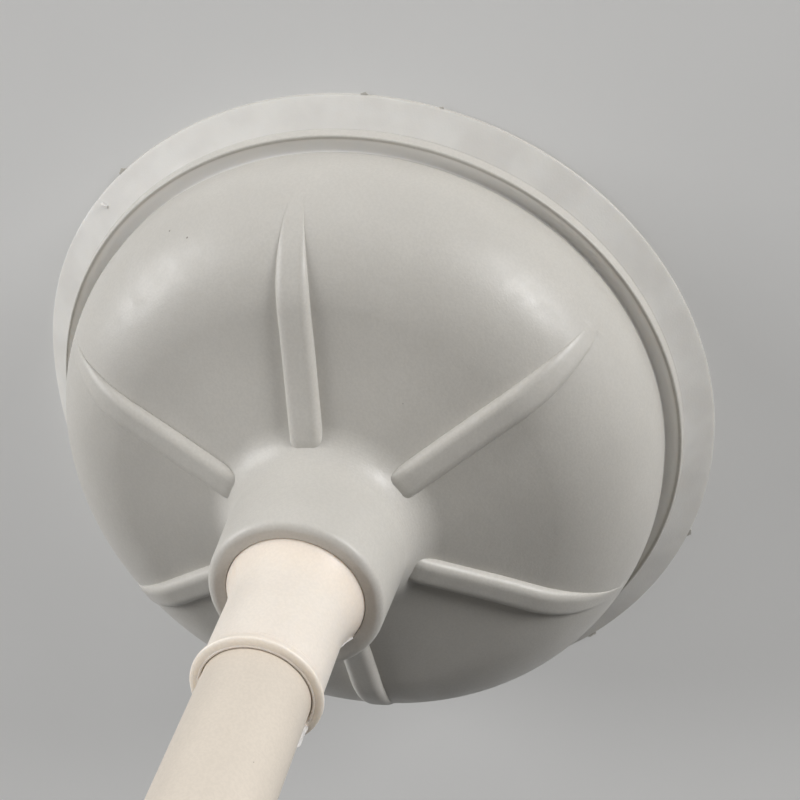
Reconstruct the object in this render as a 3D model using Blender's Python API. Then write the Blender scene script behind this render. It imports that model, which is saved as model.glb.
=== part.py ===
"""Toilet plunger: soft ribbed cup, plastic connector, tube handle, grip and end cap.

Metres, +Z up along the handle. The origin is the centre of the cup's mouth, so the
plunger stands on its lip. Rib 0 lies along +X, and the hanging eye's hole runs along Y.
"""

import math

import bmesh
import bpy
from mathutils import Matrix, Vector

MM = 0.001

# Driving dimensions, in millimetres.
LIP_RADIUS = 80.0
DOME_RADIUS = 69.5
DOME_FOOT_Z = 12.0
SHOULDER_RADIUS = 40.0
SHOULDER_REACH = 29.5
SHOULDER_RISE = 27.4
SHOULDER_END_DEG = 73.0
CONE_Z_AT_SHOULDER = 40.4
CONE_SLOPE = 0.288
CUP_WALL = 3.1

LIP_EDGE_HEIGHT = 1.0
LIP_LAND = 2.5
RING_FOOT_R = 73.4
RING_FOOT_Z = 4.2
RING_CREST_Z = 6.9
RING_CREST_OUTER_R = 73.0
RING_CREST_INNER_R = 72.4
GROOVE_Z = 5.1
GROOVE_OUTER_R = 71.2
GROOVE_INNER_R = 68.9
DOME_EDGE_Z = 7.7
HOLLOW_FOOT = ((66.2, 7.0), (67.4, 3.9), (70.0, 2.6))

RIB_COUNT = 6
RIB_HALF_WIDTH = 3.55
RIB_HEIGHT = 2.1
RIB_INNER_R = 20.8
RIB_OUTER_R = 67.0
RIB_FULL_R = 56.0
RIB_END_ROUND = 2.4

COLLAR_FOOT_R = 19.6
COLLAR_FOOT_Z = 46.3
COLLAR_TOP_R = 18.4
COLLAR_TOP_Z = 71.0
COLLAR_FILLET = 8.7
COLLAR_ROUND = 1.8

BORE_MOUTH_R = 14.7
BORE_MOUTH_Z = 70.4
BORE_FLOOR_Z = 47.5
BORE_GAP = 0.4
THREAD_ROOT_R = 13.2
THREAD_DEPTH = 1.1
THREAD_PITCH = 6.0
THREAD_LOW_Z = 49.5
THREAD_HIGH_Z = 66.5
THREAD_ROWS = 17

SPIGOT_LOW_Z = 48.3
SPIGOT_TIP_R = 12.6
SPIGOT_BORE_R = 10.6
FLARE_FOOT_Z = 68.7
FLARE_FOOT_R = 14.3
FLARE_R = 14.4
WAIST_R = 12.1
WAIST_LOW_Z = 80.0
WAIST_HIGH_Z = 96.3
BEAD_R = 13.05
BEAD_EDGE_R = 12.6
SOCKET_MOUTH_Z = 99.8
SOCKET_R = 11.05
SOCKET_FLOOR_Z = 70.0
SOCKET_CORE_R = 9.6
CORE_TOP_Z = 84.0
CORE_BORE_R = 7.3
CORE_BORE_LOW_Z = 66.6
CORE_ROOF = 2.5

TUBE_R = 10.75
TUBE_WALL = 0.8
TUBE_LOW_Z = 70.4
TUBE_HIGH_Z = 455.0

GRIP_LOW_Z = 343.0
GRIP_END_R = 13.2
GRIP_BELLY = 1.5
GRIP_BORE_R = 11.05
GRIP_EDGE = 1.0
GRIP_STEPS = 10

CAP_GAP = 0.3
CAP_HEAD_R = 14.2
CAP_HEAD_HEIGHT = 4.2
CAP_HEAD_ROUND = 2.4
CAP_HEAD_CHAMFER = 0.6
CAP_PLUG_R = 9.6
CAP_PLUG_DEPTH = 24.0
CAP_PLUG_WALL = 2.0
CAP_PLUG_CHAMFER = 0.8
EYE_CENTRE_Z = 470.0
EYE_OUTER_R = 10.0
EYE_HOLE_R = 4.5
EYE_THICKNESS = 7.0
EYE_SINK = 2.0
EYE_EDGE_ROUND = 1.2
EYE_DRILL_LENGTH = 40.0

ROUND_COLUMNS = 36
PLAIN_COLUMNS_PER_SECTOR = 3


# ---------------------------------------------------------------- materials and meshes

def material(name, colour, roughness, metallic=0.0):
    """Principled material in one colour."""
    made = bpy.data.materials.new(name)
    made.use_nodes = True
    shader = made.node_tree.nodes["Principled BSDF"]
    shader.inputs["Base Color"].default_value = (*colour, 1.0)
    shader.inputs["Roughness"].default_value = roughness
    shader.inputs["Metallic"].default_value = metallic
    return made


def body_from_rows(name, rows, look, ring=False):
    """Join rows of points, each one turn round Z, into one closed body.

    A row of a single point is a pole. With ring set, the last row joins the first one.
    """
    shape = bmesh.new()
    turns = [[shape.verts.new([value * MM for value in point]) for point in row] for row in rows]
    pairs = list(zip(turns, turns[1:]))
    if ring:
        pairs.append((turns[-1], turns[0]))
    for lower, upper in pairs:
        count = max(len(lower), len(upper))
        for index in range(count):
            after = (index + 1) % count
            if len(lower) == 1:
                corners = [lower[0], upper[after], upper[index]]
            elif len(upper) == 1:
                corners = [lower[index], lower[after], upper[0]]
            else:
                corners = [lower[index], lower[after], upper[after], upper[index]]
            shape.faces.new(corners)
    bmesh.ops.recalc_face_normals(shape, faces=shape.faces)
    mesh = bpy.data.meshes.new(name)
    shape.to_mesh(mesh)
    shape.free()
    mesh.shade_smooth()
    mesh.set_sharp_from_angle(angle=math.radians(35))
    mesh.materials.append(look)
    made = bpy.data.objects.new(name, mesh)
    bpy.context.scene.collection.objects.link(made)
    return made


def arc(centre, radii, start_deg, end_deg, steps):
    """Points (r, z) along an arc or an ellipse, both ends included."""
    points = []
    for step in range(steps + 1):
        angle = math.radians(start_deg + (end_deg - start_deg) * step / steps)
        points.append((centre[0] + radii[0] * math.cos(angle), centre[1] + radii[1] * math.sin(angle)))
    return points


def rounded_corner(before, corner, after, radius, steps):
    """Points (r, z) of the arc that rounds a corner between two straight lines."""
    corner = Vector(corner)
    into = (Vector(before) - corner).normalized()
    out = (Vector(after) - corner).normalized()
    half = into.angle(out) / 2
    centre = corner + (into + out).normalized() * radius / math.sin(half)
    spoke = corner + into * radius / math.tan(half) - centre
    turn = math.copysign(math.pi - 2 * half, -into.cross(out))
    return [tuple(centre + Matrix.Rotation(turn * step / steps, 2) @ spoke) for step in range(steps + 1)]


def turned_rows(outline, columns=ROUND_COLUMNS):
    """Rows of a round body from its (r, z) outline; a point on the axis becomes a pole."""
    rows = []
    for radius, height in outline:
        if radius == 0:
            rows.append([(0.0, 0.0, height)])
            continue
        angles = [2 * math.pi * index / columns for index in range(columns)]
        rows.append([(radius * math.cos(a), radius * math.sin(a), height) for a in angles])
    return rows


# ---------------------------------------------------------------- thread

def thread_radius(angle, height):
    """Radius of the spigot's thread: one start, fading out at both ends."""
    run_in = min(height - THREAD_LOW_Z, THREAD_HIGH_Z - height) / (THREAD_PITCH / 2)
    fade = max(0.0, min(1.0, run_in))
    ridge = 0.5 + 0.5 * math.cos(2 * math.pi * height / THREAD_PITCH - angle)
    return THREAD_ROOT_R + THREAD_DEPTH * fade * ridge


def thread_heights():
    """Heights of the thread's rows, from its lower end to its upper end."""
    step = (THREAD_HIGH_Z - THREAD_LOW_Z) / THREAD_ROWS
    return [THREAD_LOW_Z + step * index for index in range(THREAD_ROWS + 1)]


def thread_rows(angles, gap):
    """Rows of the thread's surface at these angles, moved outwards by a gap."""
    rows = []
    for height in thread_heights():
        radii = [thread_radius(angle, height) + gap for angle in angles]
        rows.append([(r * math.cos(a), r * math.sin(a), height) for r, a in zip(radii, angles)])
    return rows


# ---------------------------------------------------------------- suction cup

def cone_z(radius):
    """Height of the cup's conical top above a radius."""
    return CONE_Z_AT_SHOULDER + CONE_SLOPE * (SHOULDER_RADIUS - radius)


def rib_rise(radius):
    """Height of a rib's crest above the cup's skin: blunt inner end, tapering outer end."""
    inner = (radius - RIB_INNER_R) / RIB_END_ROUND
    outer = (RIB_OUTER_R - radius) / (RIB_OUTER_R - RIB_FULL_R)
    ends = max(0.0, min(1.0, inner)) * max(0.0, min(1.0, outer))
    return RIB_HEIGHT * math.sqrt(ends)


def cup_columns(radius):
    """Angles of the cup's columns at a radius, each with its place across the nearest rib.

    The place runs from -1 to 1 over a rib's width, and is None between the ribs.
    """
    sector = 2 * math.pi / RIB_COUNT
    across = [-1.0, -0.6, 0.0, 0.6, 1.0]
    reach = max(radius, RIB_INNER_R)
    edge = math.asin(RIB_HALF_WIDTH / reach)
    columns = []
    for rib in range(RIB_COUNT):
        centre = rib * sector
        for place in across:
            columns.append((centre + math.asin(place * RIB_HALF_WIDTH / reach), place))
        for step in range(1, PLAIN_COLUMNS_PER_SECTOR + 1):
            share = step / (PLAIN_COLUMNS_PER_SECTOR + 1)
            columns.append((centre + edge + share * (sector - 2 * edge), None))
    return columns


def cup_outside():
    """Outline of the cup's outside, (r, z), from the lip's edge to the bore's mouth."""
    lip = [(LIP_RADIUS, 0.0), (LIP_RADIUS, LIP_EDGE_HEIGHT), (RING_FOOT_R, RING_FOOT_Z)]
    ring = [(RING_CREST_OUTER_R, RING_CREST_Z), (RING_CREST_INNER_R, RING_CREST_Z)]
    groove = [(GROOVE_OUTER_R, GROOVE_Z), (GROOVE_INNER_R, GROOVE_Z), (DOME_RADIUS - 0.1, DOME_EDGE_Z)]
    shoulder = arc((SHOULDER_RADIUS, DOME_FOOT_Z), (SHOULDER_REACH, SHOULDER_RISE),
                   0.0, SHOULDER_END_DEG, 9)
    cone = [(radius, cone_z(radius)) for radius in (40.0, 33.0, 27.0)]
    collar_foot = (COLLAR_FOOT_R, COLLAR_FOOT_Z)
    fillet = rounded_corner(cone[0], collar_foot, (COLLAR_TOP_R, COLLAR_TOP_Z), COLLAR_FILLET, 5)
    rounding = arc((COLLAR_TOP_R - COLLAR_ROUND, COLLAR_TOP_Z - COLLAR_ROUND),
                   (COLLAR_ROUND, COLLAR_ROUND), 0.0, 90.0, 3)
    return lip + ring + groove + shoulder + cone + fillet + rounding + [(BORE_MOUTH_R, BORE_MOUTH_Z)]


def cup_inside():
    """Outline of the cup's hollow, (r, z), from the crown's centre to the lip's flat edge."""
    crown_z = BORE_FLOOR_Z - CUP_WALL
    crown_r = SHOULDER_RADIUS - (crown_z + CUP_WALL - CONE_Z_AT_SHOULDER) / CONE_SLOPE
    shoulder = arc((SHOULDER_RADIUS, DOME_FOOT_Z),
                   (SHOULDER_REACH - CUP_WALL, SHOULDER_RISE - CUP_WALL),
                   SHOULDER_END_DEG, 0.0, 7)
    foot = list(HOLLOW_FOOT) + [(LIP_RADIUS - LIP_LAND, 0.0)]
    return [(0.0, crown_z), (crown_r, crown_z)] + shoulder + foot


def cup_rows(outline):
    """Rows of the cup's skin from an outline, without ribs."""
    rows = []
    for radius, height in outline:
        if radius == 0:
            rows.append([(0.0, 0.0, height)])
            continue
        angles = [angle for angle, _ in cup_columns(radius)]
        rows.append([(radius * math.cos(a), radius * math.sin(a), height) for a in angles])
    return rows


def ribbed_rows(outline):
    """Rows of the cup's outside, with the six ribs raised along the skin's normal."""
    rows = []
    last = len(outline) - 1
    for index, (radius, height) in enumerate(outline):
        before = outline[max(index - 1, 0)]
        after = outline[min(index + 1, last)]
        along = (after[0] - before[0], after[1] - before[1])
        length = math.hypot(*along)
        out_r, out_z = along[1] / length, -along[0] / length
        row = []
        for angle, place in cup_columns(radius):
            rise = 0.0
            if place is not None and height > DOME_FOOT_Z:
                rise = rib_rise(radius) * math.sqrt(1.0 - place * place)
            r = radius + rise * out_r
            row.append((r * math.cos(angle), r * math.sin(angle), height + rise * out_z))
        rows.append(row)
    return rows


def suction_cup(look):
    """Lip, ring, dome with ribs and collar, in one soft moulding open at the bottom."""
    angles = [angle for angle, _ in cup_columns(BORE_MOUTH_R)]
    bore = thread_rows(angles, BORE_GAP)[::-1]
    bore_r = THREAD_ROOT_R + BORE_GAP
    mouth = cup_rows([(BORE_MOUTH_R, THREAD_HIGH_Z + 1.8)])
    floor = cup_rows([(bore_r, BORE_FLOOR_Z), (0.0, BORE_FLOOR_Z)])
    shell = ribbed_rows(cup_outside()) + mouth + bore + floor
    made = body_from_rows("suction_cup", cup_rows(cup_inside()) + shell, look)
    return made


# ---------------------------------------------------------------- connector

def connector(look):
    """Threaded spigot, flared waist and bead; a socket takes the tube, with a core inside it."""
    roof_z = CORE_TOP_Z - CORE_ROOF
    hollow = [(0.0, roof_z), (CORE_BORE_R, roof_z), (CORE_BORE_R, CORE_BORE_LOW_Z),
              (SPIGOT_BORE_R - 0.2, CORE_BORE_LOW_Z), (SPIGOT_BORE_R, SPIGOT_LOW_Z),
              (SPIGOT_TIP_R, SPIGOT_LOW_Z)]
    flare = []
    for step in range(7):
        share = step / 6
        radius = WAIST_R + (FLARE_R - WAIST_R) * (1.0 - share) ** 2
        flare.append((radius, BORE_MOUTH_Z + (WAIST_LOW_Z - BORE_MOUTH_Z) * share))
    shoulder = [(FLARE_FOOT_R, FLARE_FOOT_Z)]
    bead = [(WAIST_R - 0.1, WAIST_HIGH_Z), (BEAD_EDGE_R, SOCKET_MOUTH_Z - 1.6),
            (BEAD_R, SOCKET_MOUTH_Z - 0.5), (BEAD_EDGE_R, SOCKET_MOUTH_Z)]
    socket = [(SOCKET_R + 0.15, SOCKET_MOUTH_Z - 0.3), (SOCKET_R, SOCKET_MOUTH_Z - 1.0),
              (SOCKET_R, SOCKET_FLOOR_Z)]
    core = [(SOCKET_CORE_R, SOCKET_FLOOR_Z), (SOCKET_CORE_R, CORE_TOP_Z - 1.0),
            (SOCKET_CORE_R - 1.0, CORE_TOP_Z), (0.0, CORE_TOP_Z)]
    angles = [2 * math.pi * index / ROUND_COLUMNS for index in range(ROUND_COLUMNS)]
    rows = turned_rows(hollow) + thread_rows(angles, 0.0)
    rows += turned_rows(shoulder + flare + bead + socket + core)
    return body_from_rows("connector", rows, look)


# ---------------------------------------------------------------- handle

def handle_tube(look):
    """Thin tube, open at both ends, from the connector's socket up to the end cap."""
    bore = TUBE_R - TUBE_WALL
    outline = [(TUBE_R, TUBE_LOW_Z), (TUBE_R, TUBE_HIGH_Z), (bore, TUBE_HIGH_Z), (bore, TUBE_LOW_Z)]
    return body_from_rows("handle_tube", turned_rows(outline), look, ring=True)


def hand_grip(look):
    """Soft sleeve with a gentle belly, slid over the tube's upper end."""
    outline = [(GRIP_END_R - GRIP_EDGE, GRIP_LOW_Z)]
    for step in range(GRIP_STEPS + 1):
        share = step / GRIP_STEPS
        radius = GRIP_END_R + GRIP_BELLY * math.sin(math.pi * share)
        height = GRIP_LOW_Z + GRIP_EDGE + share * (TUBE_HIGH_Z - GRIP_LOW_Z - 2 * GRIP_EDGE)
        outline.append((radius, height))
    outline += [(GRIP_END_R - GRIP_EDGE, TUBE_HIGH_Z), (GRIP_BORE_R, TUBE_HIGH_Z), (GRIP_BORE_R, GRIP_LOW_Z)]
    return body_from_rows("hand_grip", turned_rows(outline), look, ring=True)


def hanging_eye(name, look, thickness, outer_r, foot_z):
    """Flat tab with a round top, standing on the cap's head; its width runs along X."""
    rim = arc((0.0, EYE_CENTRE_Z), (outer_r, outer_r), 0.0, 180.0, 16)
    outline = [(outer_r, foot_z)] + rim + [(-outer_r, foot_z)]
    shape = bmesh.new()
    front = [shape.verts.new((x * MM, -thickness / 2 * MM, z * MM)) for x, z in outline]
    face = shape.faces.new(front)
    pushed = bmesh.ops.extrude_face_region(shape, geom=[face])
    moved = [item for item in pushed["geom"] if isinstance(item, bmesh.types.BMVert)]
    bmesh.ops.translate(shape, verts=moved, vec=(0.0, thickness * MM, 0.0))
    bmesh.ops.recalc_face_normals(shape, faces=shape.faces)
    mesh = bpy.data.meshes.new(name)
    shape.to_mesh(mesh)
    shape.free()
    mesh.materials.append(look)
    made = bpy.data.objects.new(name, mesh)
    bpy.context.scene.collection.objects.link(made)
    soften = made.modifiers.new("rounded_edges", "BEVEL")
    soften.width = EYE_EDGE_ROUND * MM
    soften.segments = 2
    soften.limit_method = "ANGLE"
    soften.angle_limit = math.radians(40)
    return made


def hole_cutter():
    """Drill for the hanging eye, along Y."""
    bpy.ops.mesh.primitive_cylinder_add(vertices=24, radius=EYE_HOLE_R * MM,
                                        depth=EYE_DRILL_LENGTH * MM,
                                        location=(0.0, 0.0, EYE_CENTRE_Z * MM),
                                        rotation=(math.radians(90), 0.0, 0.0))
    cutter = bpy.context.object
    cutter.name = "eye_drill"
    return cutter


def as_tool(tool):
    """Hide an object that only shapes another one."""
    tool.hide_render = True
    tool.display_type = "WIRE"
    return tool


def boolean(target, tool, operation):
    """Combine the target with a tool object."""
    step = target.modifiers.new(operation.lower(), "BOOLEAN")
    step.operation = operation
    step.object = as_tool(tool)


def end_cap(look):
    """Plug in the tube's upper end, round head and hanging eye."""
    under = TUBE_HIGH_Z + CAP_GAP
    top = under + CAP_HEAD_HEIGHT
    plug_low = TUBE_HIGH_Z - CAP_PLUG_DEPTH
    bore_r = CAP_PLUG_R - CAP_PLUG_WALL
    hollow = [(0.0, under - CAP_PLUG_WALL), (bore_r - 0.2, under - CAP_PLUG_WALL), (bore_r, plug_low)]
    plug = [(CAP_PLUG_R - CAP_PLUG_CHAMFER, plug_low), (CAP_PLUG_R, plug_low + 1.5), (CAP_PLUG_R, under)]
    head = [(CAP_HEAD_R - CAP_HEAD_CHAMFER, under), (CAP_HEAD_R, under + CAP_HEAD_CHAMFER)]
    rounding = arc((CAP_HEAD_R - CAP_HEAD_ROUND, top - CAP_HEAD_ROUND),
                   (CAP_HEAD_ROUND, CAP_HEAD_ROUND), 0.0, 90.0, 4)
    outline = hollow + plug + head + rounding + [(0.0, top)]
    made = body_from_rows("end_cap", turned_rows(outline), look)
    boolean(made, hanging_eye("eye_tab", look, EYE_THICKNESS, EYE_OUTER_R, top - EYE_SINK), "UNION")
    boolean(made, hole_cutter(), "DIFFERENCE")
    return made


# ---------------------------------------------------------------- assembly

def main():
    """Build every piece; all but the cup hang on the empty that the plunge moves."""
    for old in list(bpy.data.objects):
        bpy.data.objects.remove(old, do_unlink=True)
    soft_grey = material("soft_grey_rubber", (0.55, 0.54, 0.52), 0.5)
    warm_white = material("warm_white_plastic", (0.88, 0.85, 0.79), 0.4)
    cream_paint = material("cream_paint", (0.80, 0.75, 0.66), 0.45)

    plunge = bpy.data.objects.new("plunge_axis", None)
    bpy.context.scene.collection.objects.link(plunge)

    suction_cup(soft_grey)
    moving = [connector(warm_white), handle_tube(cream_paint), hand_grip(soft_grey),
              end_cap(warm_white)]
    for piece in moving:
        piece.parent = plunge


main()
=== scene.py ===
"""Looks of the toilet plunger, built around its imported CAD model. Metres, +Z up the handle."""

import math

import bpy
import numpy as np
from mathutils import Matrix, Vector


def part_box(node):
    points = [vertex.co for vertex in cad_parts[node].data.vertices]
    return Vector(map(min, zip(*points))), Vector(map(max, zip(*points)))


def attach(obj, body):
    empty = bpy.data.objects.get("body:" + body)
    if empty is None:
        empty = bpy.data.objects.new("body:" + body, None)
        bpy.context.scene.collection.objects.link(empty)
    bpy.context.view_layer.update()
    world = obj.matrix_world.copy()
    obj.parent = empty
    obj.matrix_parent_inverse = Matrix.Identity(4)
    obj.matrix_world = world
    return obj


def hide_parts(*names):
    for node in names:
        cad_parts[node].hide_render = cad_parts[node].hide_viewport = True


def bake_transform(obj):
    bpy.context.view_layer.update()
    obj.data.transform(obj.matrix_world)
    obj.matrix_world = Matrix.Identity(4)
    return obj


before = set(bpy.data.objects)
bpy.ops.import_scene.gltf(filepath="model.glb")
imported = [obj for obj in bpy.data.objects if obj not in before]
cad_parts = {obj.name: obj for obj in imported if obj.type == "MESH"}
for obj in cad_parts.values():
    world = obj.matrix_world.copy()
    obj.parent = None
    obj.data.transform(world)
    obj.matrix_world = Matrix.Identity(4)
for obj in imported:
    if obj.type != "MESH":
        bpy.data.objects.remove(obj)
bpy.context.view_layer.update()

MM = 0.001

# Boxes of the CAD nodes, in millimetres: every piece below is placed and sized from them.
CUP_HIGH = np.array(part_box("suction_cup")[1]) / MM
CONNECTOR_LOW, CONNECTOR_HIGH = [np.array(corner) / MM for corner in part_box("connector")]
TUBE_LOW, TUBE_HIGH = [np.array(corner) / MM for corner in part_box("handle_tube")]
GRIP_LOW, GRIP_HIGH = [np.array(corner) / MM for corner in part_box("hand_grip")]
CAP_LOW, CAP_HIGH = [np.array(corner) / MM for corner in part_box("end_cap")]

LIP_R = CUP_HIGH[0]
COLLAR_TOP_Z = CUP_HIGH[2]
TUBE_R = TUBE_HIGH[0]
SOCKET_MOUTH_Z = CONNECTOR_HIGH[2]
FLARE_R = CONNECTOR_HIGH[0]

# Suction cup, in millimetres. Radii are from the handle's axis, heights from the mouth.
LIP_EDGE_R = LIP_R - 0.1
LIP_EDGE_Z = 0.6
LIP_LAND_R = LIP_R - 2.5
LIP_UNDERCUT_R = LIP_R - 9.0
LIP_UNDERCUT_Z = 2.5
STEP_R = LIP_R - 6.55
STEP_FOOT_Z = 4.2
CREST_Z = 6.9
GROOVE_Z = 5.6
DOME_R = LIP_R - 10.5
DOME_EDGE_Z = 7.75
DOME_FOOT_Z = 12.0
SHOULDER_R = LIP_R / 2
SHOULDER_REACH = DOME_R - SHOULDER_R
SHOULDER_RISE = 27.4
SHOULDER_END = math.radians(73)
CONE_Z = 40.4
CONE_SLOPE = 0.288
WALL = 3.1
COLLAR_FOOT = (19.62, 46.28)
COLLAR_FILLET = 8.7
COLLAR_TOP_R = 18.4
BORE_R = 14.52
BORE_FLOOR_Z = 47.5

# Under the crown of the hollow: the stub of the mould's gate, and a low ring.
CROWN_Z = BORE_FLOOR_Z - WALL
GATE_R = 1.2
GATE_DEPTH = 0.3
RING_INNER_R = 11.0
RING_OUTER_R = 12.6
RING_DEPTH = 0.25
RING_SLOPE = 0.2

# The soft cup has set a little out of round: (depth, middle, spread) of its dents, where a
# depth below zero is a bulge, and the height of the slow waves along its lip.
LIP_DENTS = ((2.4, math.radians(268), math.radians(17)),)
DOME_DENTS = ((1.1, math.radians(288), math.radians(28)), (-1.0, math.radians(18), math.radians(26)))
LIP_WAVE = 0.16

# Flakes of flash on the lip's edge: (azimuth in degrees, length, reach).
LIP_FLAKES = ((216, 2.4, 0.75), (172, 1.8, 0.6), (160, 1.2, 0.45), (65, 2.2, 0.6), (36, 2.8, 0.6),
              (300, 1.6, 0.5), (338, 2.0, 0.5))
FLAKE_THICKNESS = 0.3

# Where a fleck of rubber stands up from the lip's slope.
FLECK_ANGLE = math.radians(222.7)

# Ribs: bars with a flat top and round edges. The inner end is blunt, at the collar's fillet; the
# outer end narrows and sinks into the shoulder.
RIB_COUNT = 6
RIB_FLAT = 1.5
RIB_ROUND = 2.05
RIB_HEIGHT = 2.1
RIB_END_R = 20.25
RIB_TAPER_START_R = 45.5
RIB_NARROW_END_R = 67.5
RIB_SINK_END_R = 69.8
RIB_TIP_R = 67.5
RIB_TIP_ROUND = 2.2

# Thread between connector and cup.
THREAD_ROOT_R = 13.2
THREAD_DEPTH = 1.1
THREAD_PITCH = 6.0
THREAD_LOW_Z = 49.5
THREAD_HIGH_Z = 66.5
THREAD_GAP = 0.4

# Connector: spigot, flare, waist and bead outside; socket and core inside.
SPIGOT_TIP_R = 12.6
SPIGOT_HOLLOW_R = 10.4
SPIGOT_HOLLOW_Z = 66.6
FLARE_LOW_Z = COLLAR_TOP_Z - 0.6
WAIST_R = 12.1
WAIST_Z = 80.0
BEAD_STEP_Z = SOCKET_MOUTH_Z - 3.5
BEAD_R = 13.1
BEAD_CROWN_Z = SOCKET_MOUTH_Z - 0.8
BEAD_CROWN_RISE = 0.6
SOCKET_R = TUBE_R + 0.2
SOCKET_FLOOR_Z = TUBE_LOW[2] - 0.4
CORE_R = TUBE_R - 1.15
CORE_TOP_Z = 84.0
CORE_HOLLOW_R = 7.3
CORE_HOLLOW_Z = 81.5

# Its mould parts along two lines, opposite each other: (angle, height of the ridge).
PARTING_RIDGES = ((math.radians(48), 0.14), (math.radians(228), 0.05))
PARTING_WIDTH = 0.22
FIN_THICKNESS = 0.24

# Tube, grip and end cap. The grip's band of grooves runs between two shares of its length, and
# a groove's half width is a share of the pitch.
TUBE_WALL = 0.8
TUBE_EDGE = 0.25
GRIP_BORE_R = TUBE_R + 0.3
GRIP_END_R = 13.2
GRIP_BELLY = 1.5
GRIP_EDGE = 0.9
GRIP_GROOVE_PITCH = 6.5
GRIP_GROOVE_DEPTH = 0.7
GRIP_GROOVE_BAND = (0.14, 0.86)
GRIP_GROOVE_HALF_WIDTH = 0.16
CAP_HEAD_LOW_Z = TUBE_HIGH[2] + 0.3
CAP_HEAD_HIGH_Z = TUBE_HIGH[2] + 4.5
CAP_HEAD_R = CAP_HIGH[0]
CAP_PLUG_R = TUBE_R - 1.15
CAP_PLUG_WALL = 2.0
EYE_Z = CAP_HIGH[2] - 10.0
EYE_FOOT_Z = CAP_HEAD_HIGH_Z - 1.0
EYE_HOLE_R = 4.5
EYE_HALF_THICKNESS = 3.5
CAP_VOXEL = 0.4

ROUND_COLUMNS = 160
CAP_COLUMNS = 96

# Stage: the floor in metres; soft lights as (name, azimuth, elevation, distance in metres, size
# in metres, watts); the camera's place in metres and its turn in degrees.
FLOOR_R = 2.4
FLOOR_GLOW = 0.22
LIGHTS = (("key_right", 122.0, 5.8, 8.0, 3.64, 675.0),
          ("key_left", 245.0, 9.0, 8.0, 4.85, 570.0),
          ("front", 182.0, 8.0, 8.0, 4.85, 100.0),
          ("top", 278.0, 42.0, 1.6, 1.2, 3.6))
LIGHT_TARGET = Vector((0.0, 0.0, 0.05))
AMBIENT_STRENGTH = 0.04
SURROUND_STRENGTH = 0.75
CAMERA_LENS = 77.4
CAMERA_SENSOR = 36.0
CAMERA_PLACE = (-0.20496, 0.10615, 0.33312)
CAMERA_TURN_DEG = (-32.118, 11.611, 81.747)


# ---------------------------------------------------------------- outlines and meshes

def corner_arc(before, corner, after, radius):
    """Points (r, z) that round one corner of an outline."""
    before, corner, after = [np.array(point, float) for point in (before, corner, after)]
    into = (before - corner) / np.linalg.norm(before - corner)
    out = (after - corner) / np.linalg.norm(after - corner)
    half = math.acos(max(-1.0, min(1.0, float(into @ out)))) / 2
    if radius <= 0 or half > math.pi / 2 - 0.01:
        return [corner]
    bisector = (into + out) / np.linalg.norm(into + out)
    centre = corner + bisector * radius / math.sin(half)
    start = corner + into * radius / math.tan(half) - centre
    turn = math.pi - 2 * half
    side = math.copysign(1.0, into[0] * out[1] - into[1] * out[0])
    steps = max(2, math.ceil(turn / math.radians(5 if radius > 3 else 12)))
    points = []
    for step in range(steps + 1):
        angle = -side * turn * step / steps
        cos, sin = math.cos(angle), math.sin(angle)
        points.append(centre + np.array([start[0] * cos - start[1] * sin,
                                         start[0] * sin + start[1] * cos]))
    return points


def rounded(corners):
    """Outline (r, z) through corners given as (r, z) or (r, z, rounding radius)."""
    points = [np.array(corners[0][:2], float)]
    for before, corner, after in zip(corners, corners[1:], corners[2:]):
        radius = corner[2] if len(corner) == 3 else 0.0
        points += corner_arc(before[:2], corner[:2], after[:2], radius)
    points.append(np.array(corners[-1][:2], float))
    return points


def refined(points, longest):
    """The same outline with no step longer than the given length."""
    result = [points[0]]
    for start, end in zip(points, points[1:]):
        steps = max(1, math.ceil(np.linalg.norm(end - start) / longest))
        result += [start + (end - start) * step / steps for step in range(1, steps + 1)]
    return result


def mesh_piece(name, vertices, faces, look, sharp_deg=35):
    """Object from vertices in millimetres, shaded smooth between its sharp edges."""
    mesh = bpy.data.meshes.new(name)
    mesh.from_pydata([tuple(v) for v in np.asarray(vertices) * MM], [], faces)
    mesh.update()
    mesh.shade_smooth()
    mesh.set_sharp_from_angle(angle=math.radians(sharp_deg))
    mesh.materials.append(look)
    piece = bpy.data.objects.new(name, mesh)
    bpy.context.scene.collection.objects.link(piece)
    return piece


def skin(rows, ring=False):
    """Vertices and faces of one closed body from rows of points; a row of one point is a pole."""
    starts, vertices = [], []
    for row in rows:
        starts.append(len(vertices))
        vertices.extend(row)
    pairs = [(index, index + 1) for index in range(len(rows) - 1)]
    if ring:
        pairs.append((len(rows) - 1, 0))
    faces = []
    for lower, upper in pairs:
        count = max(len(rows[lower]), len(rows[upper]))
        for index in range(count):
            after = (index + 1) % count
            a, b = starts[lower] + index, starts[lower] + after
            c, d = starts[upper] + after, starts[upper] + index
            if len(rows[lower]) == 1:
                faces.append((starts[lower], c, d))
            elif len(rows[upper]) == 1:
                faces.append((a, b, starts[upper]))
            else:
                faces.append((a, b, c, d))
    return vertices, faces


def piece_from_rows(name, rows, look, ring=False, sharp_deg=35):
    """Object of one closed body from rows of points round Z."""
    vertices, faces = skin(rows, ring)
    return mesh_piece(name, vertices, faces, look, sharp_deg)


def piece_from_bodies(name, bodies, look, sharp_deg=35):
    """Object of several closed bodies, each given as (vertices, faces)."""
    all_vertices, all_faces = [], []
    for vertices, faces in bodies:
        first = len(all_vertices)
        all_vertices += vertices
        all_faces += [tuple(first + index for index in face) for face in faces]
    return mesh_piece(name, all_vertices, all_faces, look, sharp_deg)


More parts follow.
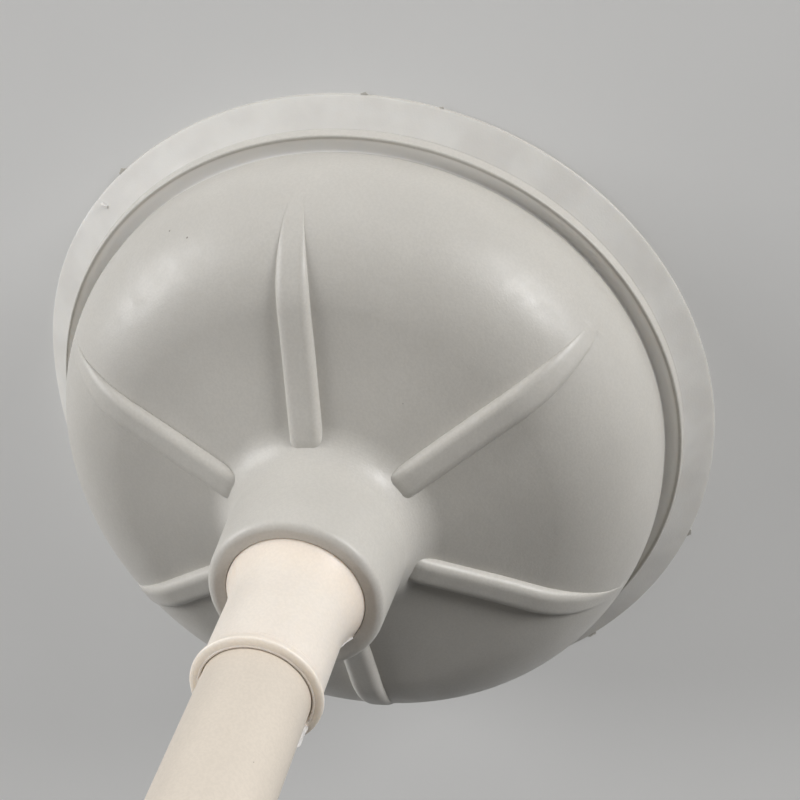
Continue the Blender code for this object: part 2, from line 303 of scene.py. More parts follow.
def flake(middle, along, out, up, length, reach, thickness, seed):
    """Thin ragged flake of moulding flash: a half oval that stands out from an edge."""
    middle, along, out, up = [np.array(v, float) for v in (middle, along, out, up)]
    rows = [[middle - along * length / 2]]
    for share in np.linspace(-0.92, 0.92, 11):
        ragged = 1.0 + 0.22 * math.sin(5.3 * share + seed) + 0.12 * math.sin(11.0 * share + 2 * seed)
        tip = reach * math.sqrt(1.0 - share * share) * ragged
        base = middle + along * share * length / 2
        rows.append([base - out * 0.3 - up * thickness / 2, base + out * tip - up * thickness / 5,
                     base + out * tip + up * thickness / 5, base - out * 0.3 + up * thickness / 2])
    rows.append([middle + along * length / 2])
    return skin(rows)


def round_angles(columns=ROUND_COLUMNS):
    """Even angles once round."""
    return [index * 2 * math.pi / columns for index in range(columns)]


def turned_rows(outline, angles):
    """Rows of a round body from its outline; a point on the axis becomes a pole."""
    rows = []
    for radius, height in outline:
        if radius < 1e-6:
            rows.append([(0.0, 0.0, height)])
        else:
            rows.append([(radius * math.cos(a), radius * math.sin(a), height) for a in angles])
    return rows


# ---------------------------------------------------------------- thread

def thread_radius(angle, height):
    """Radius of the spigot's thread, which fades out at both ends."""
    run_in = min(height - THREAD_LOW_Z, THREAD_HIGH_Z - height) / (THREAD_PITCH / 2)
    ridge = 0.5 + 0.5 * math.cos(2 * math.pi * height / THREAD_PITCH - angle)
    return THREAD_ROOT_R + THREAD_DEPTH * max(0.0, min(1.0, run_in)) * ridge


def thread_rows(angles, gap):
    """Rows of the thread's surface, moved outwards by a gap."""
    rows = []
    for height in np.linspace(THREAD_LOW_Z, THREAD_HIGH_Z, 41):
        radii = [thread_radius(angle, height) + gap for angle in angles]
        rows.append([(r * math.cos(a), r * math.sin(a), height) for r, a in zip(radii, angles)])
    return rows


# ---------------------------------------------------------------- suction cup

def cone_z(radius):
    """Height of the cup's conical top above a radius."""
    return CONE_Z + CONE_SLOPE * (SHOULDER_R - radius)


def shoulder(start, end, inset, steps):
    """The shoulder's ellipse between two angles, moved in by the wall for the hollow."""
    return [np.array([SHOULDER_R + (SHOULDER_REACH - inset) * math.cos(angle),
                      DOME_FOOT_Z + (SHOULDER_RISE - inset) * math.sin(angle)])
            for angle in np.linspace(start, end, steps)]


def clamped(value):
    """The value, kept between 0 and 1."""
    return max(0.0, min(1.0, value))


def eased(value, start, end):
    """0 before the start, 1 after the end, and a smooth rise between them."""
    return math.sin(math.pi / 2 * clamped((value - start) / (end - start))) ** 2


def circle(*shares):
    """Height of a unit circle or sphere at these distances from its centre."""
    return math.sqrt(max(0.0, 1.0 - sum(share * share for share in shares)))


def rib_profile(radius, height):
    """(half width, rise at a distance from the rib's middle) of a rib at a place on the cup."""
    if height < DOME_FOOT_Z or not RIB_END_R - 1.0 < radius < RIB_TIP_R:
        return RIB_FLAT, lambda place: 0.0
    if radius < SHOULDER_R:
        above_cone = (height - cone_z(radius)) / math.hypot(1.0, CONE_SLOPE)
        end = clamped(1.0 - (radius - RIB_END_R) / RIB_ROUND)
        sunk = clamped(above_cone / RIB_HEIGHT)

        def inner_rise(place):
            beyond = max(0.0, abs(place) - RIB_FLAT) / RIB_ROUND
            return RIB_HEIGHT * max(0.0, circle(end, beyond) - sunk)

        return RIB_FLAT + RIB_ROUND * circle(end, sunk), inner_rise

    tip = clamped(1.0 - (RIB_TIP_R - radius) / RIB_TIP_ROUND)
    narrow = eased(radius, RIB_TAPER_START_R, RIB_NARROW_END_R)
    half = (RIB_FLAT + RIB_ROUND * circle(narrow)) * circle(tip)
    crown = RIB_HEIGHT * (1.0 - eased(radius, RIB_TAPER_START_R, RIB_SINK_END_R)) * circle(tip)
    flat_share = RIB_FLAT / (RIB_FLAT + RIB_ROUND)

    def outer_rise(place):
        beyond = max(0.0, abs(place) / half - flat_share) / (1.0 - flat_share)
        return crown * circle(beyond)

    return half, outer_rise


def cup_columns(radius, edge):
    """(angle, distance from the rib's middle or None) for each column at a radius."""
    sector = 2 * math.pi / RIB_COUNT
    reach = max(radius, COLLAR_TOP_R)
    edge_angle = math.asin(edge / reach)
    across = [math.sin(math.pi / 2 * share) for share in np.linspace(-1, 1, 19)]
    between = np.linspace(0, 1, 28)[1:-1]
    columns = []
    for rib in range(RIB_COUNT):
        centre = rib * sector
        columns += [(centre + math.asin(share * edge / reach), share * edge) for share in across]
        columns += [(centre + edge_angle + share * (sector - 2 * edge_angle), None) for share in between]
    return columns


def lip_share(radius):
    """How far out a point lies on the flexible rim, from 0 at the dome to 1 at the lip's edge."""
    return clamped((radius - DOME_R) / (LIP_R - DOME_R)) ** 1.5


def dent(dents, angle):
    """Depth of the dents at an angle round the cup."""
    depth = 0.0
    for deepest, middle, spread in dents:
        turn = (angle - middle + math.pi) % (2 * math.pi) - math.pi
        depth += deepest * math.exp(-0.5 * (turn / spread) ** 2)
    return depth


def cup_point(radius, angle, height):
    """Point of the cup, with its lasting set."""
    share = lip_share(radius)
    wave = 2.0 + math.sin(3 * angle + 1.0) + 0.7 * math.sin(7 * angle + 0.4) + 0.3 * math.sin(12 * angle)
    on_dome = eased(height, DOME_EDGE_Z, 2 * DOME_EDGE_Z) * eased(radius, 0.5 * DOME_R, 0.85 * DOME_R)
    radius -= share * dent(LIP_DENTS, angle) + on_dome * dent(DOME_DENTS, angle)
    height += LIP_WAVE * share * wave / 2
    return (radius * math.cos(angle), radius * math.sin(angle), height)


def cup_outside():
    """Outline of the cup's outside, from the lip's edge to the bore's mouth."""
    rim = rounded([(LIP_LAND_R, 0.0), (LIP_EDGE_R, 0.0, 0.15), (LIP_EDGE_R, LIP_EDGE_Z, 0.35),
                   (STEP_R + 0.12, STEP_FOOT_Z), (STEP_R + 0.02, STEP_FOOT_Z + 0.06),
                   (STEP_R - 0.3, CREST_Z, 0.45), (STEP_R - 0.9, CREST_Z, 0.8),
                   (STEP_R - 2.5, GROOVE_Z + 0.15, 4.0), (DOME_R - 0.7, GROOVE_Z, 0.5),
                   (DOME_R - 0.1, DOME_EDGE_Z, 0.15), (DOME_R, DOME_FOOT_Z)])
    top = rounded([(SHOULDER_R, CONE_Z), (*COLLAR_FOOT, COLLAR_FILLET), (COLLAR_TOP_R, COLLAR_TOP_Z, 1.8),
                   (BORE_R, COLLAR_TOP_Z - 0.6, 0.3), (BORE_R, THREAD_HIGH_Z + 1.8)])
    bell = shoulder(0.0, SHOULDER_END, 0.0, 60)
    return refined(rim[1:-1], 0.8) + refined(bell, 0.8) + refined(top, 0.32)


def cup_inside():
    """Outline of the cup's hollow, from the crown's centre to the lip's flat land."""
    crown_r = SHOULDER_R - (BORE_FLOOR_Z - CONE_Z) / CONE_SLOPE
    crown = rounded([(0.0, CROWN_Z - GATE_DEPTH), (GATE_R, CROWN_Z - GATE_DEPTH, RING_SLOPE),
                     (GATE_R + GATE_DEPTH, CROWN_Z, RING_SLOPE), (RING_INNER_R, CROWN_Z, RING_SLOPE),
                     (RING_INNER_R + RING_SLOPE, CROWN_Z - RING_DEPTH, RING_SLOPE),
                     (RING_OUTER_R - RING_SLOPE, CROWN_Z - RING_DEPTH, RING_SLOPE),
                     (RING_OUTER_R, CROWN_Z, RING_SLOPE), (crown_r, CROWN_Z, 6.0),
                     (SHOULDER_R, CONE_Z - WALL)])
    foot = rounded([(DOME_R - WALL, DOME_FOOT_Z), (DOME_R - WALL - 0.1, 3.4, 1.6),
                    (LIP_UNDERCUT_R, LIP_UNDERCUT_Z, 2.0), (LIP_LAND_R, 0.0)])
    bell = shoulder(SHOULDER_END, 0.0, WALL, 30)
    return refined(crown, 2.5) + refined(bell, 2.5) + refined(foot, 1.2)


def plain_cup_rows(outline, edge=RIB_FLAT + RIB_ROUND):
    """Rows of the cup's skin where there are no ribs."""
    rows = []
    for radius, height in outline:
        if radius < 1e-6:
            rows.append([(0.0, 0.0, height)])
        else:
            rows.append([cup_point(radius, angle, height) for angle, _ in cup_columns(radius, edge)])
    return rows


def outside_rows(outline):
    """Rows of the cup's outside, with the ribs standing on it."""
    rows = []
    last = len(outline) - 1
    for index, (radius, height) in enumerate(outline):
        along = outline[min(index + 1, last)] - outline[max(index - 1, 0)]
        along = along / np.linalg.norm(along)
        half, rise_at = rib_profile(radius, height)
        row = []
        for angle, place in cup_columns(radius, half):
            rise = rise_at(place) if place is not None else 0.0
            row.append(cup_point(radius + rise * along[1], angle, height - rise * along[0]))
        rows.append(row)
    return rows


def make_cup(look):
    """Lip, ring, ribbed dome and collar: one soft moulding, open at the bottom."""
    bore_columns = [angle for angle, _ in cup_columns(BORE_R, RIB_FLAT)]
    bore = thread_rows(bore_columns, THREAD_GAP)[::-1]
    bore_r = THREAD_ROOT_R + THREAD_GAP
    floor = plain_cup_rows(rounded([(bore_r, THREAD_LOW_Z - 0.5), (bore_r, BORE_FLOOR_Z, 0.8),
                                    (0.0, BORE_FLOOR_Z)]), RIB_FLAT)
    rows = plain_cup_rows(cup_inside()) + outside_rows(cup_outside()) + bore + floor
    cup = piece_from_rows("cup_shell", rows, look)
    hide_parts("suction_cup")
    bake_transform(cup)
    return cup


def make_lip_flash(look):
    """Flakes of flash left on the lip's edge, and one raised fleck on the lip."""
    bodies = []
    for azimuth_deg, length, reach in LIP_FLAKES:
        angle = math.radians(azimuth_deg)
        middle = cup_point(LIP_R - 0.15, angle, 0.4)
        along = (-math.sin(angle), math.cos(angle), 0)
        out = (math.cos(angle), math.sin(angle), 0)
        bodies.append(flake(middle, along, out, (0, 0, 1), length, reach, FLAKE_THICKNESS, azimuth_deg))
    middle = cup_point(LIP_R - 2.0, FLECK_ANGLE, 2.0)
    slope = Vector((0.44 * math.cos(FLECK_ANGLE), 0.44 * math.sin(FLECK_ANGLE), 0.9)).normalized()
    along = Vector((math.cos(FLECK_ANGLE + 0.5), math.sin(FLECK_ANGLE + 0.5), -0.45)).normalized()
    bodies.append(flake(middle, along, slope, -slope.cross(along), 2.0, 0.35, 0.8, 1.0))
    piece = piece_from_bodies("lip_flash", bodies, look, sharp_deg=60)
    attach(piece, "cup")
    return piece


# ---------------------------------------------------------------- connector

def parting_angles():
    """Even angles round the connector, with extra ones across its two parting lines."""
    angles = [index * 2 * math.pi / ROUND_COLUMNS for index in range(ROUND_COLUMNS)]
    for parting, _ in PARTING_RIDGES:
        angles += [parting + math.radians(step) for step in (-1.6, -0.9, -0.45, 0.0, 0.45, 0.9, 1.6)]
    return sorted(angles)


def parted_rows(outline, angles):
    """Rows of a round body with the fine ridges of its parting lines."""
    rows = []
    for radius, height in outline:
        if radius < 1e-6:
            rows.append([(0.0, 0.0, height)])
            continue
        row = []
        for angle in angles:
            out = radius
            for parting, ridge in PARTING_RIDGES:
                offset = (angle - parting) * radius / PARTING_WIDTH
                out += ridge * clamped(BEAD_STEP_Z - height) * math.exp(-offset ** 2)
            row.append((out * math.cos(angle), out * math.sin(angle), height))
        rows.append(row)
    return rows


def flare_radius(height):
    """Radius of the connector's flare, which runs from the collar up into the waist."""
    share = clamped((height - FLARE_LOW_Z) / (WAIST_Z - FLARE_LOW_Z))
    return WAIST_R + (FLARE_R - WAIST_R) * (1.0 - share) ** 2


def make_connector(look):
    """Threaded spigot, flare, waist and bead, with a socket round the tube and a core inside it."""
    low = CONNECTOR_LOW[2]
    top = SOCKET_MOUTH_Z
    hollow = rounded([(0.0, CORE_HOLLOW_Z), (CORE_HOLLOW_R, CORE_HOLLOW_Z, 1.0),
                      (CORE_HOLLOW_R, SPIGOT_HOLLOW_Z, 0.5), (SPIGOT_HOLLOW_R, SPIGOT_HOLLOW_Z, 1.0),
                      (SPIGOT_HOLLOW_R + 0.2, low, 0.3), (SPIGOT_TIP_R, low, 0.4),
                      (THREAD_ROOT_R, THREAD_LOW_Z - 0.2)])
    flare = [(THREAD_ROOT_R, THREAD_HIGH_Z + 0.3), (FLARE_R - 0.05, THREAD_HIGH_Z + 2.0)]
    flare += [(flare_radius(height), height) for height in np.linspace(FLARE_LOW_Z, WAIST_Z, 18)]
    flare = [np.array(point) for point in flare]
    bead = rounded([(WAIST_R, WAIST_Z), (WAIST_R - 0.08, BEAD_STEP_Z - 0.15), (WAIST_R - 0.3, BEAD_STEP_Z),
                    (WAIST_R + 0.12, BEAD_STEP_Z + 0.15), (WAIST_R + 0.2, BEAD_STEP_Z + 1.0, 2.0),
                    (BEAD_R, BEAD_CROWN_Z - 0.3, 0.5), (BEAD_R, BEAD_CROWN_Z)])
    crown_r = SOCKET_R + 0.5
    crown = []
    for angle in np.linspace(0.0, math.pi / 2, 9):
        crown.append(np.array((crown_r + (BEAD_R - crown_r) * math.cos(angle),
                               BEAD_CROWN_Z + BEAD_CROWN_RISE * math.sin(angle))))
    mouth = rounded([crown[-1], (SOCKET_R + 0.32, top - 0.05, 0.08), (SOCKET_R, top - 0.15, 0.12),
                     (SOCKET_R, SOCKET_FLOOR_Z, 0.3), (CORE_R, SOCKET_FLOOR_Z, 0.3),
                     (CORE_R, CORE_TOP_Z, 1.0), (0.0, CORE_TOP_Z)])
    angles = parting_angles()
    outside = refined(flare[:-1] + bead[:-1] + crown, 1.0)
    rows = parted_rows(refined(hollow, 2.0), angles)[:-1] + thread_rows(angles, 0.0)
    rows += parted_rows(outside, angles) + turned_rows(refined(mouth[1:], 1.2), angles)
    piece = piece_from_rows("connector_body", rows, look)
    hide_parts("connector")
    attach(piece, "handle")
    return piece


def fin(angle, low_z, length, width, root_radius):
    """Thin fin of flash that stands out radially from a root line, widest near its lower end."""
    out = np.array((math.cos(angle), math.sin(angle), 0.0))
    side = np.array((-math.sin(angle), math.cos(angle), 0.0))
    rows = []
    for share in np.linspace(0.0, 1.0, 14):
        reach = width * math.sqrt(1.0 - share ** 2.5) * (1.0 + 0.12 * math.sin(9 * share))
        base = out * root_radius(low_z + length * share) + side * 0.3 * share ** 2
        base[2] = low_z + length * share
        if share in (0.0, 1.0):
            rows.append([base])
            continue
        tip = base + out * reach
        rows.append([tip - side * FIN_THICKNESS / 4, tip + side * FIN_THICKNESS / 4,
                     base + side * FIN_THICKNESS / 2, base - side * FIN_THICKNESS / 2])
    return skin(rows)


def make_connector_flash(look):
    """Fins of flash in the mould's parting plane: out of the socket's mouth, and on the flare."""
    angle = PARTING_RIDGES[0][0]
    at_mouth = fin(angle, SOCKET_MOUTH_Z - 1.0, 7.4, 1.05,
                   lambda height: TUBE_R + 0.1 + 0.03 * (height - SOCKET_MOUTH_Z))
    on_flare = fin(angle, COLLAR_TOP_Z - 0.3, 5.5, 0.55, lambda height: flare_radius(height) - 0.12)
    piece = piece_from_bodies("socket_flash", [at_mouth, on_flare], look, sharp_deg=60)
    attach(piece, "handle")
    return piece


# ---------------------------------------------------------------- handle

def make_tube(look):
    """Thin painted tube with softly broken edges."""
    bore = TUBE_R - TUBE_WALL
    low, high = TUBE_LOW[2], TUBE_HIGH[2]
    corners = [(radius, height, TUBE_EDGE)
               for radius, height in ((TUBE_R, low), (TUBE_R, high), (bore, high), (bore, low))]
    outline = rounded([corners[-1]] + corners + [corners[0]])[1:-1]
    rows = turned_rows(refined(outline, 12.0), round_angles())
    piece = piece_from_rows("tube_painted", rows, look, ring=True)
    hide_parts("handle_tube")
    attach(piece, "handle")
    return piece


def make_grip(look):
    """Soft sleeve with a gentle belly and a band of shallow ring grooves."""
    low, high = GRIP_LOW[2], GRIP_HIGH[2]
    band_low, band_high = GRIP_GROOVE_BAND

    def radius_at(height):
        share = (height - low) / (high - low)
        radius = GRIP_END_R + GRIP_BELLY * math.sin(math.pi * share)
        if band_low < share < band_high:
            phase = (height - low - band_low * (high - low)) / GRIP_GROOVE_PITCH
            cut = max(0.0, 1.0 - abs((phase % 1.0) - 0.5) / GRIP_GROOVE_HALF_WIDTH)
            radius -= GRIP_GROOVE_DEPTH * math.sqrt(cut)
        return radius

    side = [np.array([radius_at(z), z]) for z in np.linspace(low + GRIP_EDGE, high - GRIP_EDGE, 300)]
    start = rounded([(GRIP_BORE_R, low), (GRIP_END_R, low, GRIP_EDGE), (GRIP_END_R, low + GRIP_EDGE)])
    end = rounded([(GRIP_END_R, high - GRIP_EDGE), (GRIP_END_R, high, GRIP_EDGE), (GRIP_BORE_R, high)])
    outline = start[:-1] + side + end[1:]
    piece = piece_from_rows("grip_sleeve", turned_rows(outline, round_angles()), look, ring=True)
    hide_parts("hand_grip")
    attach(piece, "handle")
    return piece


# ---------------------------------------------------------------- end cap

def baked(piece):
    """Replace an object's mesh with what its modifiers make of it."""
    bpy.context.view_layer.update()
    evaluated = piece.evaluated_get(bpy.context.evaluated_depsgraph_get())
    mesh = bpy.data.meshes.new_from_object(evaluated)
    piece.modifiers.clear()
    piece.data = mesh
    return mesh


def eye_tab():
    """Flat tab with a round end and a round hole, both with soft edges."""
    reach = CAP_HIGH[2] - EYE_Z
    depth = EYE_Z - EYE_FOOT_Z
    columns = []
    for angle in round_angles(CAP_COLUMNS):
        cos, sin = math.cos(angle), math.sin(angle)
        outer = reach if sin >= 0 else min(reach / max(abs(cos), 1e-6), depth / abs(sin))
        section = rounded([(EYE_HOLE_R, 0), (EYE_HOLE_R, EYE_HALF_THICKNESS, 1.0),
                           (outer, EYE_HALF_THICKNESS, 1.5), (outer, 0)])
        section += [np.array((r, -y)) for r, y in section[-2:0:-1]]
        columns.append([(r * cos, y, EYE_Z + r * sin) for r, y in section])
    return skin([list(row) for row in zip(*columns)], ring=True)


def make_cap(look):
    """Plug, head and hanging eye in one moulding, with soft fillets where they meet."""
    low, head_z = CAP_LOW[2], CAP_HEAD_LOW_Z
    hollow_r = CAP_PLUG_R - CAP_PLUG_WALL
    turned = rounded([(0.0, head_z - CAP_PLUG_WALL), (hollow_r - 0.2, head_z - CAP_PLUG_WALL, 0.5),
                      (hollow_r, low, 0.6), (CAP_PLUG_R - 0.7, low, 0.6), (CAP_PLUG_R, low + 1.6, 1.0),
                      (CAP_PLUG_R, head_z, 0.3), (CAP_HEAD_R - 0.3, head_z, 0.4),
                      (CAP_HEAD_R, head_z + 1.2, 1.0), (CAP_HEAD_R - 0.5, CAP_HEAD_HIGH_Z, 1.3),
                      (8.0, CAP_HEAD_HIGH_Z + 0.5), (0.0, CAP_HEAD_HIGH_Z + 0.6)])
    bodies = [skin(turned_rows(refined(turned, 1.2), round_angles(CAP_COLUMNS))), eye_tab()]
    piece = piece_from_bodies("cap_with_eye", bodies, look)
    union = piece.modifiers.new("one_body", "REMESH")
    union.mode = "VOXEL"
    union.voxel_size = CAP_VOXEL * MM
    fillet = piece.modifiers.new("soft_fillets", "SMOOTH")
    fillet.factor = 0.5
    fillet.iterations = 10
    mesh = baked(piece)
    mesh.shade_smooth()
    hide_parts("end_cap")
    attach(piece, "handle")
    return piece


# ---------------------------------------------------------------- materials

class Surface:
    """One Principled material and the short calls that build its nodes."""

    def __init__(self, name, roughness, scatter_weight, scatter_mm):
        self.look = bpy.data.materials.new(name)
        self.look.use_nodes = True
        self.tree = self.look.node_tree
        self.shader = self.tree.nodes["Principled BSDF"]
        self.shader.inputs["Roughness"].default_value = roughness
        self.shader.inputs["Subsurface Weight"].default_value = scatter_weight
        self.shader.inputs["Subsurface Radius"].default_value = (1.0, 0.92, 0.8)
        self.shader.inputs["Subsurface Scale"].default_value = scatter_mm * MM
        self.place = self.tree.nodes.new("ShaderNodeTexCoord").outputs["Object"]

    def feed(self, socket, value):
        """Link a socket to another, or set it to a value."""
        if isinstance(value, bpy.types.NodeSocket):
            self.tree.links.new(value, socket)
        else:
            socket.default_value = value

    def noise(self, size_mm, detail=2.0, place=None):
        """Soft noise whose features are about as large as given."""
        made = self.tree.nodes.new("ShaderNodeTexNoise")
        made.inputs["Scale"].default_value = 1.0 / (size_mm * MM)
        made.inputs["Detail"].default_value = detail
        self.feed(made.inputs["Vector"], place or self.place)
        return made.outputs["Fac"]

    def mapped(self, value, low, high, to_low, to_high):
        """The value, moved smoothly from one range to another and kept inside it."""
        made = self.tree.nodes.new("ShaderNodeMapRange")
        made.interpolation_type = "SMOOTHSTEP"
        for socket, number in zip(made.inputs, (value, low, high, to_low, to_high)):
            self.feed(socket, number)
        return made.outputs["Result"]

    def maths(self, operation, first, second=0.0):
        """One step of arithmetic."""
        made = self.tree.nodes.new("ShaderNodeMath")
        made.operation = operation
        self.feed(made.inputs[0], first)
        self.feed(made.inputs[1], second)
        return made.outputs["Value"]

    def blended(self, share, first, second):
        """Mix of two colours."""
        made = self.tree.nodes.new("ShaderNodeMix")
        made.data_type = "RGBA"
        self.feed(made.inputs["Factor"], share)
        sockets = [socket for socket in made.inputs if socket.type == "RGBA"]
        for socket, colour in zip(sockets, (first, second)):
            self.feed(socket, colour)
        return [socket for socket in made.outputs if socket.type == "RGBA"][0]

    def specks(self, spacing_mm, radius_mm, share):
        """Sparse small dots, 1 inside a dot and 0 elsewhere."""
        made = self.tree.nodes.new("ShaderNodeTexVoronoi")
        made.inputs["Scale"].default_value = 1.0 / (spacing_mm * MM)
        self.feed(made.inputs["Vector"], self.place)
        size = radius_mm / spacing_mm
        dot = self.mapped(made.outputs["Distance"], size * 0.7, size, 1.0, 0.0)
        split = self.tree.nodes.new("ShaderNodeSeparateColor")
        self.feed(split.inputs[0], made.outputs["Color"])
        chosen = self.maths("GREATER_THAN", split.outputs[0], 1.0 - share)
        return self.maths("MULTIPLY", dot, chosen)

    def relief(self, heights):
        """Bump from (height, depth in millimetres) pairs, coarse to fine."""
        normal = None
        for height, depth_mm in heights:
            made = self.tree.nodes.new("ShaderNodeBump")
            made.inputs["Strength"].default_value = 1.0
            made.inputs["Distance"].default_value = depth_mm * MM
            self.feed(made.inputs["Height"], height)
            if normal:
                self.feed(made.inputs["Normal"], normal)
            normal = made.outputs["Normal"]
        self.feed(self.shader.inputs["Normal"], normal)


def tone(colour, factor):
    """A colour, lighter or darker."""
    return (*[min(1.0, channel * factor) for channel in colour], 1.0)


def mottled(surface, colour, patch_mm, contrast):
    """Base colour with slow patches and a fine grain of tone."""
    patches = surface.mapped(surface.noise(patch_mm, 3.0), 0.3, 0.7, 0.0, 1.0)
    slow = surface.blended(patches, tone(colour, 1.0 - contrast), tone(colour, 1.0 + contrast))
    grain = surface.mapped(surface.noise(0.6, 2.0), 0.35, 0.65, 0.0, 0.3)
    return surface.blended(grain, slow, tone(colour, 0.86))


def grey_rubber():
    """Matte thermoplastic rubber: fine grain, slow flow marks and stray specks, with painted light on the
    thin rim: the lip and the groove are coloured paler than the rubber, standing in for light shining
    through the thin rim and lightening the groove's shade.
    """
    colour = (0.60, 0.578, 0.535)
    surface = Surface("soft_grey_rubber", 0.42, 0.3, 0.9)
    surface.shader.inputs["Sheen Weight"].default_value = 0.06
    surface.shader.inputs["Sheen Roughness"].default_value = 0.5
    body = mottled(surface, colour, 16.0, 0.022)
    split = surface.tree.nodes.new("ShaderNodeSeparateXYZ")
    surface.feed(split.inputs[0], surface.place)
    x, y, z = split.outputs
    radius = surface.maths("SQRT", surface.maths("ADD", surface.maths("MULTIPLY", x, x),
                                                 surface.maths("MULTIPLY", y, y)))
    # Painted light: this mask picks the lip and the groove, but not the crest or the lip's very edge, for
    # a paler colour that lightens their shade.
    low_down = surface.mapped(z, (GROOVE_Z + 0.3) * MM, (GROOVE_Z + 0.6) * MM, 1.0, 0.0)
    past_dome = surface.mapped(radius, (DOME_R + 0.2) * MM, (DOME_R + 0.6) * MM, 0.0, 1.0)
    off_dome = surface.maths("MAXIMUM", low_down, past_dome)
    on_crest = surface.maths("MULTIPLY", surface.mapped(z, 4.15 * MM, 4.4 * MM, 0.0, 1.0),
                             surface.mapped(radius, (STEP_R - 1.4) * MM, (STEP_R - 1.0) * MM, 0.0, 1.0))
    inside_edge = surface.mapped(radius, (LIP_R - 0.3) * MM, (LIP_R - 0.12) * MM, 1.0, 0.0)
    rim = surface.maths("MULTIPLY", surface.maths("SUBTRACT", off_dome, on_crest), inside_edge)
    # Painted light: a paler colour for the lip, with slow streaks of tone, and a paler one still for the
    # groove, where the shade is deepest.
    streaks = surface.mapped(surface.noise(9.0, 2.0), 0.3, 0.7, 0.0, 1.0)
    painted_light_lip_colour = surface.blended(streaks, (0.795, 0.775, 0.738, 1.0), (0.853, 0.837, 0.80, 1.0))
    painted_light_groove_share = surface.mapped(radius, (STEP_R - 1.9) * MM, (STEP_R - 1.1) * MM, 1.0, 0.0)
    painted_light_rim_colour = surface.blended(painted_light_groove_share, painted_light_lip_colour, (0.89, 0.875, 0.85, 1.0))
    body = surface.blended(rim, body, painted_light_rim_colour)
    dirt = surface.specks(4.6, 0.26, 0.08)
    body = surface.blended(surface.maths("MULTIPLY", dirt, 0.75), body, (0.16, 0.13, 0.10, 1.0))
    surface.feed(surface.shader.inputs["Base Color"], body)
    rough = surface.mapped(surface.noise(5.0, 3.0), 0.3, 0.7, 0.36, 0.46)
    surface.feed(surface.shader.inputs["Roughness"], rough)
    surface.relief([(surface.noise(14.0, 2.0), 0.14), (surface.noise(3.0, 2.0), 0.03),
                    (surface.noise(0.45, 2.0), 0.03), (dirt, 0.06)])
    return surface.look


def warm_white_plastic():
    """Satin polypropylene: nearly smooth, with faint flow clouds and a few specks."""
    colour = (0.955, 0.825, 0.717)
    surface = Surface("warm_white_plastic", 0.34, 0.6, 3.0)
    body = mottled(surface, colour, 12.0, 0.012)
    dirt = surface.specks(5.0, 0.22, 0.05)
    body = surface.blended(surface.maths("MULTIPLY", dirt, 0.6), body, (0.30, 0.24, 0.18, 1.0))
    surface.feed(surface.shader.inputs["Base Color"], body)
    rough = surface.mapped(surface.noise(4.0, 3.0), 0.3, 0.7, 0.30, 0.42)
    surface.feed(surface.shader.inputs["Roughness"], rough)
    surface.relief([(surface.noise(10.0, 2.0), 0.08), (surface.noise(0.5, 2.0), 0.012), (dirt, 0.03)])
    return surface.look


def thin_flash():
    """The same plastic where it is thin: paler, because light comes through it."""
    surface = Surface("thin_flash", 0.3, 0.5, 2.0)
    body = mottled(surface, (0.95, 0.91, 0.86), 3.0, 0.03)
    surface.feed(surface.shader.inputs["Base Color"], body)
    surface.shader.inputs["Transmission Weight"].default_value = 0.15
    surface.relief([(surface.noise(1.2, 2.0), 0.03)])
    return surface.look


def cream_paint():
    """Powder paint on steel: fine orange peel, a faint speckle and a few dark specks."""
    colour = (0.70, 0.628, 0.54)
    surface = Surface("cream_paint", 0.42, 0.0, 1.0)
    surface.shader.inputs["Coat Weight"].default_value = 0.12
    surface.shader.inputs["Coat Roughness"].default_value = 0.35
    body = mottled(surface, colour, 20.0, 0.015)
    dirt = surface.specks(3.4, 0.26, 0.10)
    body = surface.blended(surface.maths("MULTIPLY", dirt, 0.6), body, (0.25, 0.20, 0.14, 1.0))
    surface.feed(surface.shader.inputs["Base Color"], body)
    rough = surface.mapped(surface.noise(3.0, 3.0), 0.3, 0.7, 0.38, 0.50)
    surface.feed(surface.shader.inputs["Roughness"], rough)
    surface.relief([(surface.noise(1.6, 2.0), 0.035), (surface.noise(0.4, 2.0), 0.012), (dirt, 0.05)])
    return surface.look


def grip_rubber():
    """The same rubber with a coarser spark-eroded grain, a little darker all over."""
    colour = (0.56, 0.54, 0.50)
    surface = Surface("grip_rubber", 0.58, 0.3, 1.0)
    surface.shader.inputs["Sheen Weight"].default_value = 0.08
    surface.shader.inputs["Sheen Roughness"].default_value = 0.5
    body = mottled(surface, colour, 14.0, 0.03)
    dirt = surface.specks(4.0, 0.28, 0.08)
    body = surface.blended(surface.maths("MULTIPLY", dirt, 0.6), body, (0.18, 0.15, 0.12, 1.0))
    surface.feed(surface.shader.inputs["Base Color"], body)
    rough = surface.mapped(surface.noise(4.0, 3.0), 0.3, 0.7, 0.52, 0.66)
    surface.feed(surface.shader.inputs["Roughness"], rough)
    surface.relief([(surface.noise(8.0, 2.0), 0.08), (surface.noise(0.6, 3.0), 0.06), (dirt, 0.04)])
    return surface.look


def floor_paper():
    """Pale seamless paper that glows a little, as a light table does."""
    surface = Surface("floor_paper", 0.8, 0.0, 1.0)
    tint = surface.blended(surface.mapped(surface.noise(60.0, 3.0), 0.3, 0.7, 0.0, 1.0),
                           (0.57, 0.57, 0.565, 1.0), (0.59, 0.59, 0.585, 1.0))
    surface.feed(surface.shader.inputs["Base Color"], tint)
    surface.shader.inputs["Emission Color"].default_value = (1.0, 0.99, 0.97, 1.0)
    surface.shader.inputs["Emission Strength"].default_value = FLOOR_GLOW
    surface.relief([(surface.noise(1.5, 2.0), 0.02)])
    return surface.look


# ---------------------------------------------------------------- stage

def make_floor():
    """Round pale floor under the lip."""
    bpy.ops.mesh.primitive_circle_add(vertices=256, radius=FLOOR_R, fill_type="NGON")
    floor = bpy.context.object
    floor.name = "floor"
    floor.data.materials.append(floor_paper())


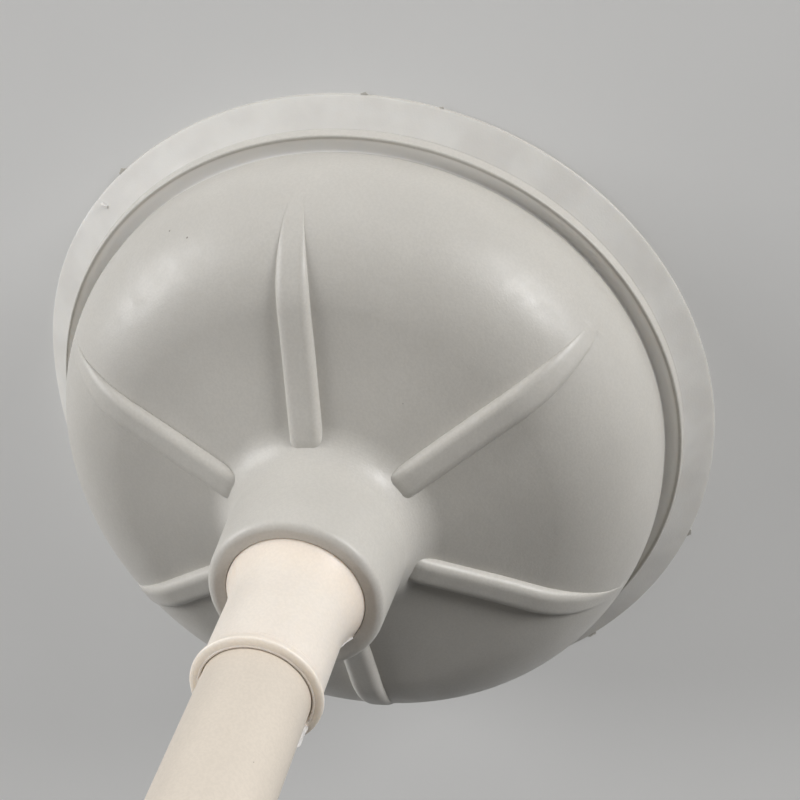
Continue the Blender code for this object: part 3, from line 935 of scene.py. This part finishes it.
def make_light(name, azimuth_deg, elevation_deg, distance, size, power):
    """Square soft light that looks at the object."""
    data = bpy.data.lights.new(name, "AREA")
    data.size = size
    data.energy = power
    light = bpy.data.objects.new(name, data)
    azimuth, elevation = math.radians(azimuth_deg), math.radians(elevation_deg)
    offset = Vector((math.cos(azimuth) * math.cos(elevation), math.sin(azimuth) * math.cos(elevation),
                     math.sin(elevation)))
    light.location = LIGHT_TARGET + offset * distance
    light.rotation_euler = offset.to_track_quat("Z", "Y").to_euler()
    bpy.context.scene.collection.objects.link(light)


def make_world():
    """Faint even light on the object, and a pale surround behind it."""
    world = bpy.data.worlds.new("studio")
    bpy.context.scene.world = world
    world.use_nodes = True
    tree = world.node_tree
    lit = tree.nodes["Background"]
    lit.inputs["Color"].default_value = (1.0, 0.99, 0.97, 1.0)
    lit.inputs["Strength"].default_value = AMBIENT_STRENGTH
    seen = tree.nodes.new("ShaderNodeBackground")
    seen.inputs["Color"].default_value = (0.80, 0.80, 0.79, 1.0)
    seen.inputs["Strength"].default_value = SURROUND_STRENGTH
    path = tree.nodes.new("ShaderNodeLightPath")
    choice = tree.nodes.new("ShaderNodeMixShader")
    tree.links.new(path.outputs["Is Camera Ray"], choice.inputs[0])
    tree.links.new(lit.outputs[0], choice.inputs[1])
    tree.links.new(seen.outputs[0], choice.inputs[2])
    tree.links.new(choice.outputs[0], tree.nodes["World Output"].inputs["Surface"])


def make_studio():
    """Three large low soft lights, a weak high one, and an even fill."""
    make_world()
    for light in LIGHTS:
        make_light(*light)
    bpy.context.scene.view_settings.view_transform = "Standard"


def make_camera():
    """Camera above and beside the cup, rolled so that the handle runs down to the left."""
    data = bpy.data.cameras.new("camera")
    data.lens = CAMERA_LENS
    data.sensor_width = CAMERA_SENSOR
    camera = bpy.data.objects.new("camera", data)
    camera.location = CAMERA_PLACE
    camera.rotation_euler = [math.radians(angle) for angle in CAMERA_TURN_DEG]
    bpy.context.scene.collection.objects.link(camera)
    bpy.context.scene.camera = camera


def main():
    """Build the stage and every piece."""
    rubber = grey_rubber()
    plastic = warm_white_plastic()
    make_camera()
    make_floor()
    make_studio()
    make_cup(rubber)
    make_lip_flash(rubber)
    make_connector(plastic)
    make_connector_flash(thin_flash())
    make_tube(cream_paint())
    make_grip(grip_rubber())
    make_cap(plastic)


main()
